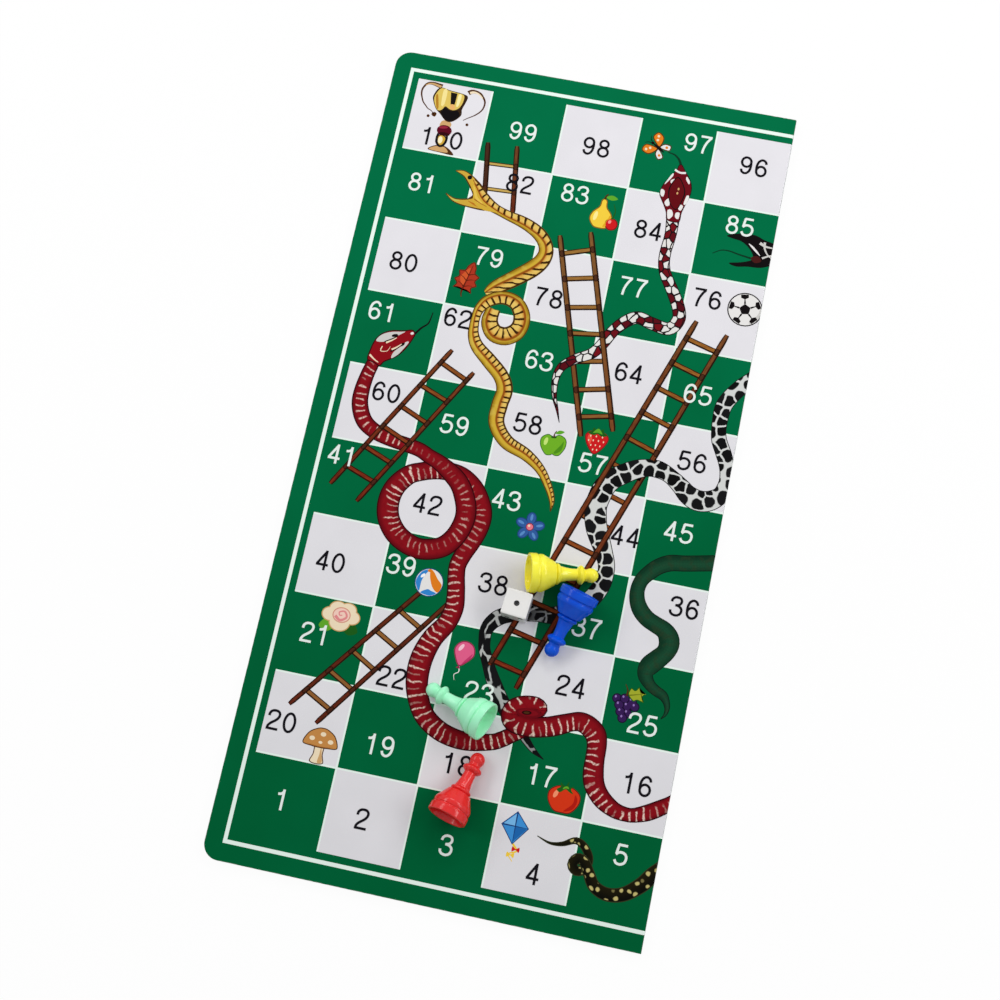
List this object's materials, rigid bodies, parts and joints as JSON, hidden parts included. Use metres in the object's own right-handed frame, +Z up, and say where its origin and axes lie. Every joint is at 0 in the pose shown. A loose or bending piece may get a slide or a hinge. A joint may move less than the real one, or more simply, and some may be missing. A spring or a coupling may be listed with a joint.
{
  "type": "snakes and ladders board",
  "caption": "Folding board game panel with a checkered numbered track, snakes and ladders, hinged at its fold, with pawns and a die lying on it.",
  "frame": {"origin": "under the middle of the folded board, on the plane it rests on", "axes": "+X across the columns towards the fold, +Y up the rows towards the finish, +Z up out of the printed face"},
  "size_m": [0.1598, 0.321, 0.0179],
  "materials": {
    "grey_board": "raw pressed grey board",
    "printed_sheet": "satin printed paper",
    "lining_paper": "matt uncoated paper",
    "hinge_tape": "woven cloth tape",
    "yellow_plastic": "glossy moulded",
    "blue_plastic": "glossy moulded",
    "green_plastic": "glossy moulded",
    "red_plastic": "glossy moulded",
    "die_plastic": "glossy moulded",
    "pip_paint": "satin paint"
  },
  "bodies": {
    "left_half": {"left_core": "grey_board", "left_face_sheet": "printed_sheet", "left_back_lining": "lining_paper", "left_hinge_leaf": "hinge_tape"},
    "right_half": {"right_core": "grey_board", "right_face_sheet": "printed_sheet", "right_back_lining": "lining_paper", "right_hinge_leaf": "hinge_tape"},
    "yellow_pawn": {"yellow_pawn": "yellow_plastic"},
    "blue_pawn": {"blue_pawn": "blue_plastic"},
    "green_pawn": {"green_pawn": "green_plastic"},
    "red_pawn": {"red_pawn": "red_plastic"},
    "die": {"die_body": "die_plastic", "die_pips": "pip_paint"}
  },
  "joints": [
    {"name": "fold_hinge", "type": "hinge", "parent": "left_half", "child": "right_half", "pos_m": [0.07992, 0, 0.00135], "axis": [0, -1, 0], "range_deg": [0, 180]},
    {"name": "yellow_pawn_lift", "type": "slide", "parent": "left_half", "child": "yellow_pawn", "axis": [0, 0, 1], "range_m": [0, 0.06]},
    {"name": "blue_pawn_lift", "type": "slide", "parent": "left_half", "child": "blue_pawn", "axis": [0, 0, 1], "range_m": [0, 0.06]},
    {"name": "green_pawn_lift", "type": "slide", "parent": "left_half", "child": "green_pawn", "axis": [0, 0, 1], "range_m": [0, 0.06]},
    {"name": "red_pawn_lift", "type": "slide", "parent": "left_half", "child": "red_pawn", "axis": [0, 0, 1], "range_m": [0, 0.06]},
    {"name": "die_lift", "type": "slide", "parent": "left_half", "child": "die", "axis": [0, 0, 1], "range_m": [0, 0.06]}
  ]
}
